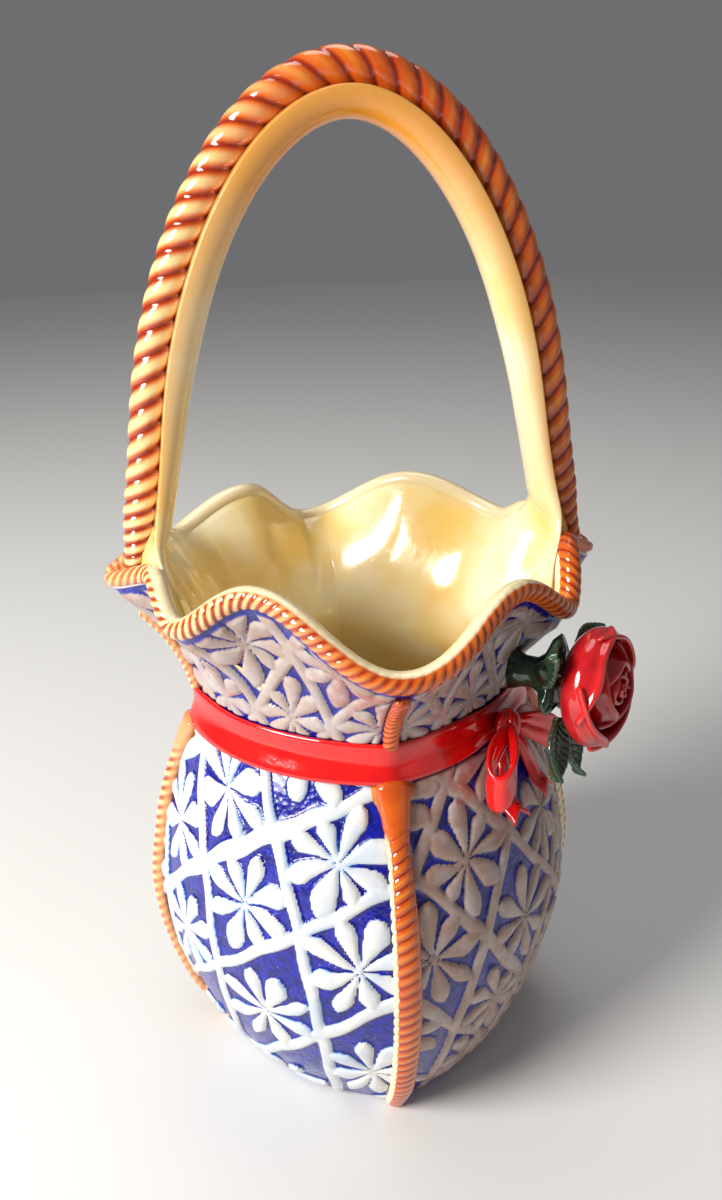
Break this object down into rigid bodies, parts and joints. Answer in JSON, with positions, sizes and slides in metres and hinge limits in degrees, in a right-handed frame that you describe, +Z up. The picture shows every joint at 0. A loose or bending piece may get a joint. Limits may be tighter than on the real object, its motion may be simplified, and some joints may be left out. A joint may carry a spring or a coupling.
{
  "type": "porcelain basket vase",
  "caption": "Porcelain basket vase: bowed square body with raised lattice, ruffled rope-edged rim, tall arched handle, and a ribbon, bow and rose at the neck.",
  "frame": {"origin": "middle of the flat base", "axes": "+Z up; the body's corners point along X and Y; the handle's arch stands in the XZ plane; -Y is the front corner; the rose faces between +X and -Y"},
  "size_m": [0.1182, 0.1172, 0.245],
  "materials": {
    "body_glaze": "glossy glaze, white relief on cobalt blue outside, cream inside",
    "cream_glaze": "glossy cream glaze",
    "rope_glaze": "glossy honey-brown glaze, darker in the grooves",
    "ribbon_glaze": "glossy red glaze",
    "rose_glaze": "glossy deep red glaze",
    "leaf_glaze": "glossy dark green glaze"
  },
  "bodies": {
    "root": {"bow_knot": "ribbon_glaze", "bow_loop_left": "ribbon_glaze", "bow_loop_right": "ribbon_glaze", "corner_rope_lower_back": "rope_glaze", "corner_rope_lower_front": "rope_glaze", "corner_rope_lower_left": "rope_glaze", "corner_rope_lower_right": "rope_glaze", "corner_rope_upper_back": "rope_glaze", "corner_rope_upper_front": "rope_glaze", "corner_rope_upper_left": "rope_glaze", "corner_rope_upper_right": "rope_glaze", "handle_rope": "rope_glaze", "handle_strap": "cream_glaze", "ribbon_band": "ribbon_glaze", "ribbon_tail_left": "ribbon_glaze", "ribbon_tail_right": "ribbon_glaze", "rim_rope_back": "rope_glaze", "rim_rope_front": "rope_glaze", "rose_bud": "rose_glaze", "rose_leaf_1": "leaf_glaze", "rose_leaf_2": "leaf_glaze", "rose_leaf_3": "leaf_glaze", "rose_leaf_4": "leaf_glaze", "rose_leaf_5": "leaf_glaze", "rose_petal_1": "rose_glaze", "rose_petal_2": "rose_glaze", "rose_petal_3": "rose_glaze", "rose_petal_4": "rose_glaze", "rose_petal_5": "rose_glaze", "rose_petal_6": "rose_glaze", "rose_petal_7": "rose_glaze", "rose_stem": "leaf_glaze", "vase_body": "body_glaze"}
  },
  "joints": []
}
